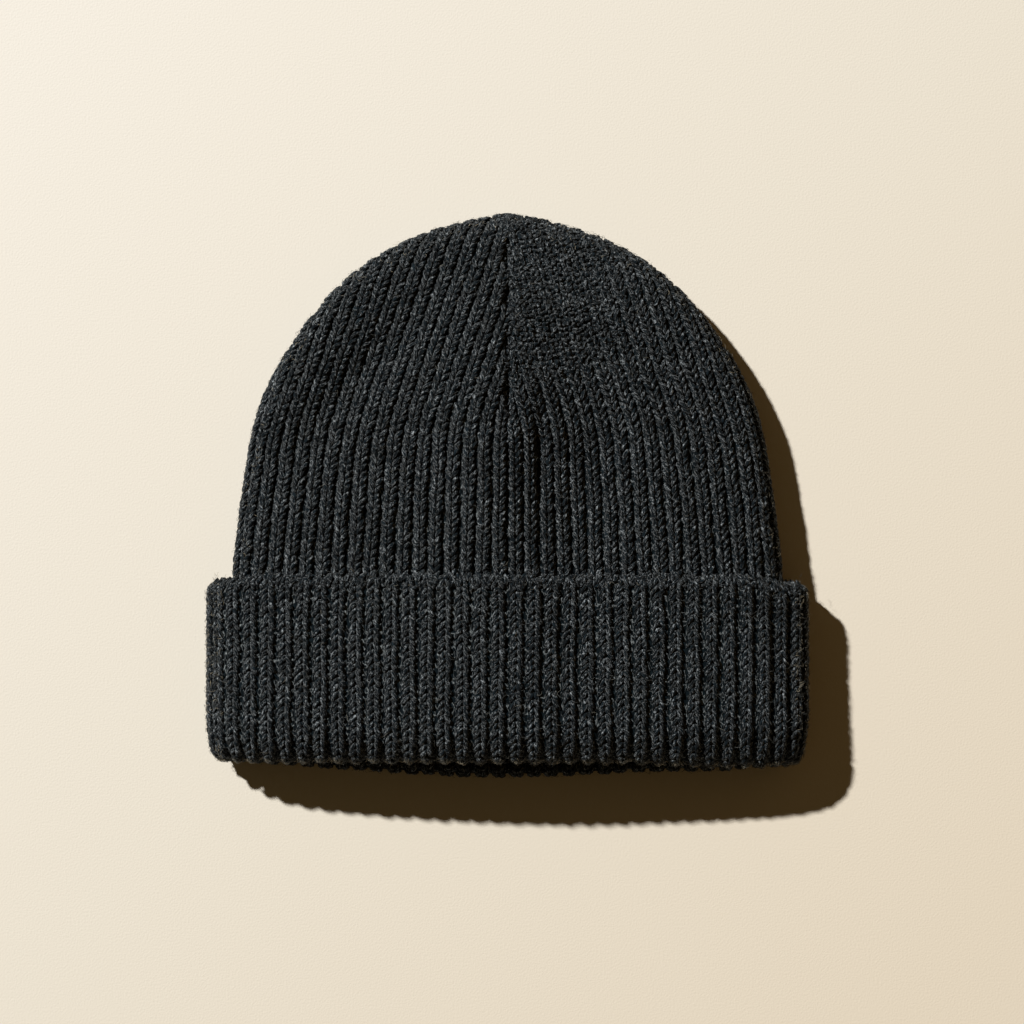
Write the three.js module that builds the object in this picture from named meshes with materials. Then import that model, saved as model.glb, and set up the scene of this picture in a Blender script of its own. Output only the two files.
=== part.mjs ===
// A ribbed knit cap with a turned-up cuff, lying flat on its back.
// X runs across the cap, Y from its mouth to the top of its crown, and Z up from the surface it lies on.
// Heights are measured along Y from the cuff's upper edge, until the whole cap is centred at the end.
import * as THREE from 'three';
import { mergeVertices } from 'three/addons/utils/BufferGeometryUtils.js';

// Driving dimensions, in millimetres
const ribsAround = 72;
const seamRibs = 5;
const wall = 4;
const ribDepth = 1.8;
const gap = 0.4;

const cuffHeight = 69.5;
const cuffHalfWidth = 110.3;
const cuffThickness = 24;
const cuffSwell = 6;
const cuffEdgeRadius = 10;
const castOnRounding = 1.4;
const backFoldDrop = 4.5;
const backFoldHalfWidth = 95;
const backFoldCurve = 1.5;
const cornerLift = 1.8;
const cornerLiftShare = 0.125;
const cornerPull = 3.2;
const cornerPullShare = 0.2;
const cornerHeight = 20;

const crownEdgeRadius = 8;
const dartHeight = 47;
const dartBend = 15;
const sideLean = 0.23;
const dropLength = 24;
const seamDepth = 1.9;
const seamHalfWidth = 2.6;
const ribStart = -4;
const bandTop = -10;

// The crown's half width up to the height where its darts begin
const crownSides = [
  { height: -80, halfWidth: 106 },
  { height: 0, halfWidth: 100.9 },
  { height: 24, halfWidth: 98.4 },
  { height: 47, halfWidth: 94.9 },
];

// Above it the crown's reach from the darts' lower end, by the angle above the horizontal in degrees
const crownDome = [
  { angle: 0, reach: 94.9 },
  { angle: 10, reach: 92.2 },
  { angle: 20, reach: 89.2 },
  { angle: 32, reach: 86.7 },
  { angle: 50, reach: 85.3 },
  { angle: 68, reach: 84.3 },
  { angle: 80, reach: 84.4 },
  { angle: 90, reach: 85.8 },
];

// How high the crown's front sheet lies at its sides, and how far it swells up towards the middle
const crownTopside = [
  { height: -80, level: cuffThickness - wall - gap, swell: cuffSwell },
  { height: 0, level: cuffThickness - wall - gap, swell: cuffSwell },
  { height: 24, level: 18.7, swell: 5.4 },
  { height: 60, level: 17.8, swell: 4.6 },
  { height: 100, level: 16.6, swell: 3.8 },
  { height: 133, level: 14.6, swell: 2.4 },
];

// Soft dents and swells of the front sheet: where they lie, how far they spread and how high they stand
const frontWaves = [
  { across: 12.6, height: 39, spreadAcross: 3.6, spreadUp: 14, rise: -1.3 },
  { across: 24, height: 60, spreadAcross: 11, spreadUp: 26, rise: 0.8 },
  { across: -46, height: 66, spreadAcross: 13, spreadUp: 22, rise: -0.9 },
  { across: -66, height: 26, spreadAcross: 16, spreadUp: 14, rise: 0.7 },
  { across: 62, height: 32, spreadAcross: 18, spreadUp: 18, rise: 0.6 },
  { across: 34, height: 100, spreadAcross: 15, spreadUp: 12, rise: 0.7 },
  { across: -22, height: 104, spreadAcross: 10, spreadUp: 14, rise: 0.6 },
];

// Where one rib's vertices lie across it, and how deep each one sits
const ribSection = [
  { across: 0, depth: ribDepth },
  { across: 0.24, depth: 0 },
  { across: 0.76, depth: 0 },
];

// How far up its rib each row of the crown's outer face lies, and each row of its lining face
const outerRows = [0, 0.09, 0.19, 0.3, 0.41, 0.52, 0.63, 0.73, 0.82, 0.89, 0.945, 0.98, 1];
const liningRows = [0, 0.16, 0.33, 0.5, 0.66, 0.8, 0.9, 0.965, 1];

// Heights of the cuff's rows between the fold and its upper edge, and the angles of its rows round the fold
const cuffRows = [-51, -34, -17];
const coarseFoldAngles = [180, 135];
const ribbedFoldAngles = [90, 45];

const ribsPerQuarter = ribsAround / 4;
const quarterTurn = Math.PI / 2;
const foldRadius = wall + gap / 2;
const searchSteps = 40;
const weldDistance = 0.0005;
const yarnColour = 0x24272b;

const { clamp, degToRad, lerp, radToDeg, smoothstep } = THREE.MathUtils;

// Reads a table at a place between its rows, along a smooth curve through them
function readTable(rows, key, column, place) {
  const last = rows.length - 1;
  const at = clamp(place, rows[0][key], rows[last][key]);
  const next = rows.findIndex((row, i) => i > 0 && at <= row[key]);
  const slope = (i, j) => (rows[j][column] - rows[i][column]) / (rows[j][key] - rows[i][key]);
  const span = rows[next][key] - rows[next - 1][key];
  const slopeBefore = slope(Math.max(next - 2, 0), next) * span;
  const slopeAfter = slope(next - 1, Math.min(next + 1, last)) * span;
  const t = (at - rows[next - 1][key]) / span;
  const level = lerp(rows[next - 1][column], rows[next][column], t * t * (3 - 2 * t));
  return level + slopeBefore * t * (1 - t) ** 2 - slopeAfter * t ** 2 * (1 - t);
}

// A sheet rolled round an edge is longer than its outline by this much
function edgeExcess(radius) {
  return (quarterTurn - 1) * radius;
}

// The ribs stand in a ring of stations, from the left side across the front sheet and back behind it.
// A station's share is 0 in the middle of its sheet and 1 at the side fold.
function ringStations() {
  const quarters = [
    { side: -1, sheet: 1, inward: true },
    { side: 1, sheet: 1, inward: false },
    { side: 1, sheet: -1, inward: true },
    { side: -1, sheet: -1, inward: false },
  ];
  const stations = [];
  for (const { side, sheet, inward } of quarters) {
    for (let rib = 0; rib < ribsPerQuarter; rib += 1) {
      for (const { across, depth } of ribSection) {
        const along = (rib + across) / ribsPerQuarter;
        stations.push({ side, sheet, share: inward ? 1 - along : along, depth });
      }
    }
  }
  return stations;
}

const ribbed = ringStations();
const coarse = ribbed.filter((station, i) => i % ribSection.length === 0);

function frontWave(x, y) {
  const rises = frontWaves.map((wave) => {
    const dx = (x - wave.across) / wave.spreadAcross;
    const dy = (y - wave.height) / wave.spreadUp;
    return wave.rise * Math.exp(-dx * dx - dy * dy);
  });
  return rises.reduce((sum, rise) => sum + rise, 0);
}

// The front sheet is fullest in the middle and has no swell left at the cuff's sides
function fullness(across) {
  return 1 - (across / cuffHalfWidth) ** 2;
}

// A sheet lies flat and rolls round its edge down to the middle level, where the sheet behind it begins
function rolledPoint(station, edge, low, high, depth) {
  const turn = clamp(edge.inside / edge.radius, 0, quarterTurn);
  const rolled = edge.outline - edge.radius * (1 - Math.cos(turn));
  const reach = (turn < quarterTurn ? rolled : edge.reach) - depth * Math.cos(turn);
  const x = station.side * reach * edge.cos;
  const y = edge.base + reach * edge.sin;
  const rise = ((high - low) / 2 - depth) * Math.sin(turn);
  const wave = station.sheet > 0 ? frontWave(x, y) * Math.sin(turn) ** 2 : 0;
  return new THREE.Vector3(x, y, (high + low) / 2 + station.sheet * rise + wave);
}

// The ray from the crown's middle through a place of its laid-out sheet, and how far inside the edge that is
function crownEdge(across, height) {
  const radius = crownEdgeRadius;
  if (height <= dartHeight) {
    const outline = readTable(crownSides, 'height', 'halfWidth', height);
    const inside = outline + edgeExcess(radius) - across;
    return { cos: 1, sin: 0, base: height, reach: across, outline, inside, radius };
  }
  const angle = Math.atan2(height - dartHeight, across);
  const outline = readTable(crownDome, 'angle', 'reach', radToDeg(angle));
  const reach = Math.hypot(across, height - dartHeight);
  const inside = outline + edgeExcess(radius) - reach;
  return { cos: Math.cos(angle), sin: Math.sin(angle), base: dartHeight, reach, outline, inside, radius };
}

// A place on the crown; its back sheet leaves the cuff one layer up and drops to the surface
function crownPoint(station, across, height, depth) {
  const edge = crownEdge(across, height);
  const reach = Math.min(edge.reach, edge.outline);
  const level = edge.base + reach * edge.sin;
  const low = (wall + gap) * (1 - smoothstep(level, 0, dropLength));
  const swell = readTable(crownTopside, 'height', 'swell', level) * fullness(reach * edge.cos);
  const high = readTable(crownTopside, 'height', 'level', level) + swell;
  return rolledPoint(station, edge, low, high, depth);
}

// The crown's laid-out half width at the darts, the laid-out top, and the lean that brings a rib to it
const dartHalfWidth = crownDome[0].reach + edgeExcess(crownEdgeRadius);
const layoutTop = dartHeight + crownDome[crownDome.length - 1].reach + edgeExcess(crownEdgeRadius);
const topShare = seamRibs / ribsPerQuarter;
const straightRise = layoutTop - dartHeight - dartBend / 2;
const ribLean = topShare * (dartHalfWidth - sideLean * dartBend / 2) / straightRise;

// How far from the middle a rib lies: straight up the side, then bending over towards the middle
function ribAcross(share, height) {
  if (height <= dartHeight) {
    const halfWidth = readTable(crownSides, 'height', 'halfWidth', height);
    return share * (halfWidth + edgeExcess(crownEdgeRadius));
  }
  const up = height - dartHeight;
  const bent = Math.min(up, dartBend);
  const firstLean = sideLean * share;
  const shift = firstLean * bent + (ribLean - firstLean) * bent ** 2 / (2 * dartBend);
  return share * dartHalfWidth - shift - ribLean * (up - bent);
}

// Where a rib ends: on the middle seam, at the very top, or on the outline at the side
function ribEnd(share) {
  if (share === 0 || share === 1) return dartHeight;
  if (Math.abs(share - topShare) < weldDistance) return layoutTop;
  let low = dartHeight;
  let high = layoutTop;
  for (let step = 0; step < searchSteps; step += 1) {
    const middle = (low + high) / 2;
    const across = ribAcross(share, middle);
    const within = across > 0 && crownEdge(across, middle).inside > 0;
    if (within) low = middle;
    else high = middle;
  }
  return low;
}

// A row of the crown, part of the way up each rib, with the seam drawn in along the middle of each sheet
function crownRing(stations, start, along, depthOf) {
  return stations.map((station) => {
    const height = lerp(start, ribEnd(station.share), along);
    const across = Math.max(0, ribAcross(station.share, height));
    return crownPoint(station, across, height, depthOf(station, across, height));
  });
}

function outerDepth(station, across, height) {
  const nearness = Math.exp(-((across / seamHalfWidth) ** 2));
  const seam = seamDepth * nearness * smoothstep(height, dartHeight, dartHeight + dartBend);
  return Math.max(station.depth, seam);
}

// A place on the cuff; towards the fold its corners are drawn in, and the ribs beside them follow
function cuffPoint(station, height, depth) {
  const pull = cornerPull * clamp((cornerHeight - cuffHeight - height) / cornerHeight, 0, 1) ** 2;
  const radius = cuffEdgeRadius;
  const outline = cuffHalfWidth - pull;
  const follow = pull * station.share * Math.exp((station.share - 1) / cornerPullShare);
  const reach = (cuffHalfWidth + edgeExcess(radius)) * station.share - follow;
  const inside = outline + edgeExcess(radius) - reach;
  const edge = { cos: 1, sin: 0, base: height, reach, outline, inside, radius };
  const high = cuffThickness + cuffSwell * fullness(Math.min(reach, outline));
  return rolledPoint(station, edge, 0, high, depth);
}

// The height where a sheet of the cuff begins to turn round its fold; the back one hangs a little lower
function foldStart(station) {
  const corner = cornerLift * Math.exp(-(((1 - station.share) / cornerLiftShare) ** 2));
  const fromMiddle = clamp(station.share * cuffHalfWidth / backFoldHalfWidth, 0, 1);
  const drop = station.sheet < 0 ? backFoldDrop * Math.cos(fromMiddle * quarterTurn) ** backFoldCurve : 0;
  return foldRadius - cuffHeight + corner - drop;
}

function foldPoint(station, angle) {
  const turn = degToRad(angle);
  const radius = foldRadius - station.depth * smoothstep(Math.cos(turn), -1, 0);
  const height = foldStart(station) - radius * Math.sin(turn);
  return cuffPoint(station, height, foldRadius - radius * Math.cos(turn));
}

// Joins two rings by triangles; one of them may have all the ribs' vertices and the other one for each rib
function joinRings(lower, upper, triangle) {
  const steps = Math.min(lower.length, upper.length);
  const fine = ribSection.length;
  const at = (ring, i) => ring[i % ring.length];
  for (let i = 0; i < steps; i += 1) {
    if (lower.length === upper.length) {
      triangle(at(lower, i), at(lower, i + 1), at(upper, i + 1));
      triangle(at(lower, i), at(upper, i + 1), at(upper, i));
    } else if (lower.length < upper.length) {
      triangle(at(lower, i), at(upper, fine * i + 1), at(upper, fine * i));
      triangle(at(lower, i), at(upper, fine * i + 2), at(upper, fine * i + 1));
      triangle(at(lower, i), at(lower, i + 1), at(upper, fine * i + 2));
      triangle(at(lower, i + 1), at(upper, fine * i + 3), at(upper, fine * i + 2));
    } else {
      triangle(at(lower, fine * i), at(lower, fine * i + 1), at(upper, i));
      triangle(at(lower, fine * i + 1), at(lower, fine * i + 2), at(upper, i));
      triangle(at(lower, fine * i + 2), at(upper, i + 1), at(upper, i));
      triangle(at(lower, fine * i + 2), at(lower, fine * i + 3), at(upper, i + 1));
    }
  }
}

// A knitted piece through its rings, which run up its outer face; the last may meet the first
function knitMesh(name, rings, closed) {
  const positions = [];
  const triangle = (...corners) => corners.forEach((corner) => positions.push(corner.x, corner.y, corner.z));
  const joins = closed ? rings.length : rings.length - 1;
  for (let i = 0; i < joins; i += 1) {
    joinRings(rings[i], rings[(i + 1) % rings.length], triangle);
  }
  const loose = new THREE.BufferGeometry();
  loose.setAttribute('position', new THREE.Float32BufferAttribute(positions, 3));
  const geometry = mergeVertices(loose, weldDistance);
  geometry.computeVertexNormals();
  const material = new THREE.MeshStandardMaterial({ color: yarnColour, roughness: 0.95, metalness: 0 });
  const mesh = new THREE.Mesh(geometry, material);
  mesh.name = name;
  return mesh;
}

// The dome and the band that runs down inside the cuff; the sheets close along the sides, top and seams
function makeCrown() {
  const lining = liningRows.map((along) => crownRing(coarse, 0, along, () => wall)).reverse();
  const bandAt = (depth) => coarse.map((station) => {
    return crownPoint(station, ribAcross(station.share, bandTop), bandTop, depth);
  });
  const bandEnd = (depth) => coarse.map((station) => cuffPoint(station, foldStart(station) + gap, depth));
  const outer = outerRows.map((along) => crownRing(ribbed, ribStart, along, outerDepth));
  const band = [bandAt(wall), bandEnd(2 * wall + gap), bandEnd(wall + gap), bandAt(0)];
  return knitMesh('crown', [...lining, ...band, ...outer], false);
}

// The turned-up layer and its fold, which meets the end of the crown's band
function makeCuff() {
  const meeting = coarse.map((station) => cuffPoint(station, foldStart(station), wall));
  const inTurn = coarseFoldAngles.map((angle) => coarse.map((station) => foldPoint(station, angle)));
  const outTurn = ribbedFoldAngles.map((angle) => ribbed.map((station) => foldPoint(station, angle)));
  const foldEdge = ribbed.map((station) => cuffPoint(station, foldStart(station), station.depth));
  const face = cuffRows.map((height) => ribbed.map((station) => cuffPoint(station, height, station.depth)));
  const castOn = [
    ribbed.map((station) => cuffPoint(station, -castOnRounding, station.depth)),
    ribbed.map((station) => cuffPoint(station, 0, Math.max(castOnRounding, station.depth))),
    coarse.map((station) => cuffPoint(station, 0, wall - castOnRounding / 2)),
    coarse.map((station) => cuffPoint(station, -castOnRounding, wall)),
  ];
  return knitMesh('cuff', [meeting, ...inTurn, ...outTurn, foldEdge, ...face, ...castOn], true);
}

const cap = new THREE.Group();
cap.add(makeCrown(), makeCuff());

// The origin is in the middle of the cap, on the surface that it lies on
const box = new THREE.Box3().setFromObject(cap);
const middle = box.getCenter(new THREE.Vector3());
cap.children.forEach((piece) => piece.position.set(-middle.x, -middle.y, -box.min.z));

export default cap;
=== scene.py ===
import math

import bpy
import numpy as np
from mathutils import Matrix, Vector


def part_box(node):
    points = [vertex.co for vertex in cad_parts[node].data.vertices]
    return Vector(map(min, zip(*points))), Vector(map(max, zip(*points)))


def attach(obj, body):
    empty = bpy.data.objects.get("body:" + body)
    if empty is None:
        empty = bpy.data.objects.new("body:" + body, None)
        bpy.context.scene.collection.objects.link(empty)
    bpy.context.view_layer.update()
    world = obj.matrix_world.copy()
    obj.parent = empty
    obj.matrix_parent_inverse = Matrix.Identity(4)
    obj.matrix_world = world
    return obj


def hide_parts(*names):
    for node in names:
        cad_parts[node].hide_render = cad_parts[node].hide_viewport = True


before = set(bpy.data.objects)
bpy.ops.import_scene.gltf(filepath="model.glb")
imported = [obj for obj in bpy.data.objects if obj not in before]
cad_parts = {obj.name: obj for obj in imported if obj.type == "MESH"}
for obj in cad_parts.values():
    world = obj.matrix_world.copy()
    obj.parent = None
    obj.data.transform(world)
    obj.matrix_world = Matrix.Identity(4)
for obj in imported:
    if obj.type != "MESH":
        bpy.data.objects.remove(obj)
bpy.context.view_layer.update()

# A ribbed knit cap with a turned-up cuff, lying flat on its back. Lengths are in millimetres until they are
# placed. Heights run along Y from the cuff's upper edge, which the frame gives.
MM = 0.001
CUFF_EDGE_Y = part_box("cuff")[1][1]
RANDOM = np.random.default_rng(11)
RESTING_LEVEL = 0.05

# The knit
RIBS_PER_QUARTER = 18
SEAM_RIBS = 5
COURSE = 2.57
WALL = 4.0
GAP = 0.4

# The cuff
CUFF_HEIGHT = 69.5
CUFF_HALF_WIDTH = 110.3
CUFF_THICKNESS = 24.0
CUFF_SWELL = 8.0
CUFF_EDGE_RADIUS = 10.0
FACE_RISE = 4.0
MOUTH_DEPTH = 24.0

# The cuff's lower fold. It dips towards the table, bulges at each rib, and its back lies lower than its front
FOLD_RADIUS = WALL + GAP / 2
FRONT_FOLD_LIFT = 1.5
BACK_FOLD_DROP = 5.2
BACK_FOLD_HALF_WIDTH = 95.0
BACK_FOLD_CURVE = 1.5
RIGHT_FOLD_DROP = 1.8
RIGHT_FOLD_ACROSS = (40, 80)
FOLD_DIP = 8.0
FOLD_DIP_LENGTH = 16.0
FOLD_BULGE = 0.9
FOLD_BULGE_LENGTH = 3.6
FOLD_BULGE_PLACE = CUFF_HEIGHT - 3.0

# The cuff's corners, and the drop of its upper edge towards the ends
CORNER_LIFT = 1.8
CORNER_LIFT_SHARE = 0.125
CORNER_PULL = 3.2
CORNER_PULL_SHARE = 0.2
CORNER_HEIGHT = 20.0
TOP_CORNER_PULL = 3.0
TOP_CORNER_HEIGHT = 5.0
TOP_END_DROP = 1.9
TOP_END_DROP_RIGHT = 3.0
TOP_END_ACROSS = (84, 104)
TOP_END_LENGTH = 16.0

# The crown
CROWN_EDGE_RADIUS = 8.0
DART_HEIGHT = 47.0
DART_BEND = 15.0
SIDE_LEAN = 0.23
DROP_LENGTH = 24.0
SEAM_DEPTH = 1.8
SEAM_HALF_WIDTH = 1.5
SEAM_PLACE = 0.5
SEAM_TOP = 72.0
SEAM_FADE = 6.0

# Height and half width below the darts, and angle and reach above them
CROWN_SIDES = ((-80, 106), (0, 100.9), (24, 98.4), (47, 94.9))
CROWN_DOME = ((0, 94.9), (10, 92.2), (20, 89.2), (32, 86.7), (50, 85.3), (68, 84.3), (80, 84.4), (90, 85.8))

# Height and level of the crown's front sheet at its sides, and its swell in the middle
CROWN_TOPSIDE = ((-80, 19.0), (0, 19.0), (24, 17.4), (52, 16.4), (80, 16.8), (100, 16.6), (133, 14.6))
CROWN_SWELL = ((-80, 8.5), (0, 8.5), (24, 9.5), (60, 9.5), (100, 7.5), (133, 3.5))

# Dents and swells of the front sheet: where, how far along and across it they spread, their turn, and rise
FRONT_WAVES = (
    # across, height, length, width, turn, rise
    (12, 45, 2.4, 16, 0, -2.8),
    (0.6, 62, 1.6, 8, 0, -0.9),
    (-8, 55, 50, 50, 0, 2.0),
    (-6, 60, 19, 50, 0, 5.4),
    (30, 44, 15, 34, 0, -2.4),
    (24, -20, 12, 40, 0, -1.6),
    (-53, 74, 30, 9, 48, -4.5),
    (-66, 26, 16, 14, 0, 0.7),
    (62, 32, 18, 18, 0, 0.6),
    (34, 100, 15, 12, 0, 0.7),
    (-22, 104, 10, 14, 0, 0.6),
    (8, -34, 42, 32, 0, 2.0),
    (-114, -38, 20, 60, 0, -4.2),
    (103, -34, 9, 45, 0, -3.2),
)

QUARTERS = ((-1, 1), (1, 1), (1, -1), (-1, -1))
QUARTER_TURN = math.pi / 2


def smooth_step(value, start, end):
    """From 0 at the start to 1 at the end, level at both."""
    t = np.clip((value - start) / (end - start), 0, 1)
    return t * t * (3 - 2 * t)


def read_table(table, at):
    """The value of a two-column table at a place between its rows, along a smooth curve."""
    keys, values = np.array(table, float).T
    last = len(keys) - 1
    at = np.clip(at, keys[0], keys[-1])
    after = np.clip(np.searchsorted(keys, at), 1, last)

    def slope(i, j):
        return (values[j] - values[i]) / (keys[j] - keys[i])

    span = keys[after] - keys[after - 1]
    slope_before = slope(np.maximum(after - 2, 0), after) * span
    slope_after = slope(after - 1, np.minimum(after + 1, last)) * span
    t = (at - keys[after - 1]) / span
    level = values[after - 1] + (values[after] - values[after - 1]) * t * t * (3 - 2 * t)
    return level + slope_before * t * (1 - t) ** 2 - slope_after * t ** 2 * (1 - t)


def edge_excess(radius):
    """How much longer a sheet is than its outline is wide, where it rolls over the edge."""
    return (QUARTER_TURN - 1) * radius


CUFF_LAYOUT_WIDTH = CUFF_HALF_WIDTH + edge_excess(CUFF_EDGE_RADIUS)


def front_wave(x, y):
    """The rise of the front sheet's dents and swells."""
    rise = np.zeros(np.shape(x))
    for across, height, length, width, turn, amount in FRONT_WAVES:
        cos, sin = math.cos(math.radians(turn)), math.sin(math.radians(turn))
        along = (x - across) * cos + (y - height) * sin
        beside = (y - height) * cos - (x - across) * sin
        rise += amount * np.exp(-(along / length) ** 2 - (beside / width) ** 2)
    return rise


def fullness(across):
    """The share of a sheet's swell, full in the middle and none at the cuff's sides."""
    return 1 - (across / CUFF_HALF_WIDTH) ** 2


def rolled_place(side, sheet, edge, low, high, rise):
    """A sheet lies flat and rolls round its edge, past the middle level and on into the sheet behind it."""
    cos, sin, base, reach, outline, radius = edge
    inside = outline + edge_excess(radius) - reach
    turn = np.clip(inside / radius, -QUARTER_TURN, QUARTER_TURN)
    rolled = outline - radius * (1 - np.cos(turn))
    reach = np.where(turn < QUARTER_TURN, rolled, reach) + rise * np.cos(turn)
    x = side * reach * cos
    y = base + reach * sin
    lift = ((high - low) / 2 + rise) * np.sin(turn)
    wave = np.where(sheet * turn > 0, front_wave(x, y) * np.sin(turn) ** 2, 0)
    z = (high + low) / 2 + sheet * lift + wave
    return np.stack([x * MM, y * MM + CUFF_EDGE_Y, np.maximum(z, RESTING_LEVEL) * MM], axis=-1)


def crown_place(side, sheet, across, height, rise):
    """A place on the laid-out crown, rise above the crests of its ribs."""
    straight = height <= DART_HEIGHT
    above = height - DART_HEIGHT
    angle = np.arctan2(above, across)
    outline = np.where(straight, read_table(CROWN_SIDES, height), read_table(CROWN_DOME, np.degrees(angle)))
    cos = np.where(straight, 1, np.cos(angle))
    sin = np.where(straight, 0, np.sin(angle))
    base = np.where(straight, height, DART_HEIGHT)
    reach = np.where(straight, across, np.hypot(across, above))
    within = np.minimum(reach, outline)
    level = base + within * sin
    low = (WALL + GAP) * (1 - smooth_step(level, 0, DROP_LENGTH))
    high = read_table(CROWN_TOPSIDE, level) + read_table(CROWN_SWELL, level) * fullness(within * cos)
    seam = SEAM_DEPTH * np.exp(-((side * across - SEAM_PLACE) / SEAM_HALF_WIDTH) ** 2)
    seam = seam * smooth_step(above, 0, DART_BEND) * (1 - smooth_step(above, SEAM_TOP, SEAM_TOP + SEAM_FADE))
    edge = (cos, sin, base, reach, outline, CROWN_EDGE_RADIUS)
    return rolled_place(side, sheet, edge, low, high, rise - seam)


def fold_start(sheet, share):
    """The height at which the cuff's face turns into its lower fold."""
    corner = CORNER_LIFT * np.exp(-((1 - share) / CORNER_LIFT_SHARE) ** 2)
    from_middle = np.clip(share * CUFF_HALF_WIDTH / BACK_FOLD_HALF_WIDTH, 0, 1)
    drop = np.where(sheet < 0, BACK_FOLD_DROP * np.cos(from_middle * QUARTER_TURN) ** BACK_FOLD_CURVE, 0)
    lift = np.where(sheet > 0, FRONT_FOLD_LIFT * (1 - share ** 8), 0)
    return FOLD_RADIUS - CUFF_HEIGHT + corner + lift - drop


def lowered_fold(side, across, height):
    """The heights of the cuff, with the fold's right part lowered."""
    near_fold = np.clip(-height / CUFF_HEIGHT, 0, 1) ** 2
    drop = RIGHT_FOLD_DROP * smooth_step(across, *RIGHT_FOLD_ACROSS) * near_fold
    return height - np.where(side > 0, drop, 0)


def upper_edge_drop(side, across, height):
    drop = np.where(side > 0, TOP_END_DROP_RIGHT, TOP_END_DROP) * smooth_step(across, *TOP_END_ACROSS)
    return drop * np.clip(1 + height / TOP_END_LENGTH, 0, 1)


def corner_pull(height, turn):
    """How far the cuff's outline draws in at its lower and upper corners."""
    lower = CORNER_PULL * np.clip((CORNER_HEIGHT - CUFF_HEIGHT - height) / CORNER_HEIGHT, 0, 1) ** 2
    upper = TOP_CORNER_PULL * np.clip((TOP_CORNER_HEIGHT + height) / TOP_CORNER_HEIGHT, 0, 1) ** 2
    return lower + np.where(turn > 0, 0, upper)


def cuff_top(across, height):
    """The level of the cuff's front face."""
    dip = FOLD_DIP * np.clip((FOLD_DIP_LENGTH - CUFF_HEIGHT - height) / FOLD_DIP_LENGTH, 0, 1) ** 2
    face_rise = FACE_RISE * np.clip(-height / CUFF_HEIGHT, 0, 1)
    return CUFF_THICKNESS + CUFF_SWELL * fullness(across) + face_rise - dip


def cuff_place(side, sheet, across, along, rise):
    """A place on the laid-out cuff: along runs down its face, round the fold and up inside the mouth."""
    share = np.clip(across / CUFF_LAYOUT_WIDTH, 0, 1)
    start = fold_start(sheet, share)
    turn = np.clip((along + start) / FOLD_RADIUS, 0, math.pi)
    inner = np.maximum(along + start - math.pi * FOLD_RADIUS, 0)
    face = np.maximum(-along, start)
    bulge = -FOLD_BULGE * np.cos(2 * math.pi * share * RIBS_PER_QUARTER)
    near_fold = np.exp(-((along - FOLD_BULGE_PLACE) / FOLD_BULGE_LENGTH) ** 2)
    radius = FOLD_RADIUS + rise + bulge * near_fold
    height = lowered_fold(side, across, face - radius * np.sin(turn) + inner)
    pull = corner_pull(height, turn)
    reach = across - pull * share * np.exp((share - 1) / CORNER_PULL_SHARE)
    outline = CUFF_HALF_WIDTH - pull
    high = cuff_top(np.minimum(reach, outline), height)
    height = height - np.where(turn > 0, 0, upper_edge_drop(side, across, height))
    edge = (1, 0, height, reach, outline, CUFF_EDGE_RADIUS)
    return rolled_place(side, sheet, edge, 0, high, radius * np.cos(turn) - FOLD_RADIUS)


DART_HALF_WIDTH = CROWN_DOME[0][1] + edge_excess(CROWN_EDGE_RADIUS)
LAYOUT_TOP = DART_HEIGHT + CROWN_DOME[-1][1] + edge_excess(CROWN_EDGE_RADIUS)
TOP_SHARE = SEAM_RIBS / RIBS_PER_QUARTER
RIB_RISE = LAYOUT_TOP - DART_HEIGHT - DART_BEND / 2
RIB_LEAN = TOP_SHARE * (DART_HALF_WIDTH - SIDE_LEAN * DART_BEND / 2) / RIB_RISE
RIB_MIDDLES = np.arange(RIBS_PER_QUARTER) + 0.5


def rib_across(share, height):
    """How far from the middle a rib of the crown lies at a height of the laid-out sheet."""
    side = share * (read_table(CROWN_SIDES, height) + edge_excess(CROWN_EDGE_RADIUS))
    up = np.maximum(height - DART_HEIGHT, 0)
    bent = np.minimum(up, DART_BEND)
    first = SIDE_LEAN * share
    shift = first * bent + (RIB_LEAN - first) * bent ** 2 / (2 * DART_BEND)
    return np.where(height <= DART_HEIGHT, side, share * DART_HALF_WIDTH - shift - RIB_LEAN * (up - bent))


def inside_crown(across, height):
    """How far a place on the laid-out crown lies inside its outline."""
    above = height - DART_HEIGHT
    reach = np.where(above <= 0, across, np.hypot(across, above))
    dome = read_table(CROWN_DOME, np.degrees(np.arctan2(above, across)))
    outline = np.where(above <= 0, read_table(CROWN_SIDES, height), dome)
    return outline + edge_excess(CROWN_EDGE_RADIUS) - reach


def rib_end(share):
    """Where a rib ends: on the middle seam, at the very top, or on the outline at the side."""
    heights = np.linspace(DART_HEIGHT, LAYOUT_TOP, 1500)
    across = rib_across(share, heights)
    within = (across > 0) & (inside_crown(across, heights) > 0)
    return heights[np.argmin(within)] if not within.all() else LAYOUT_TOP


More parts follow.
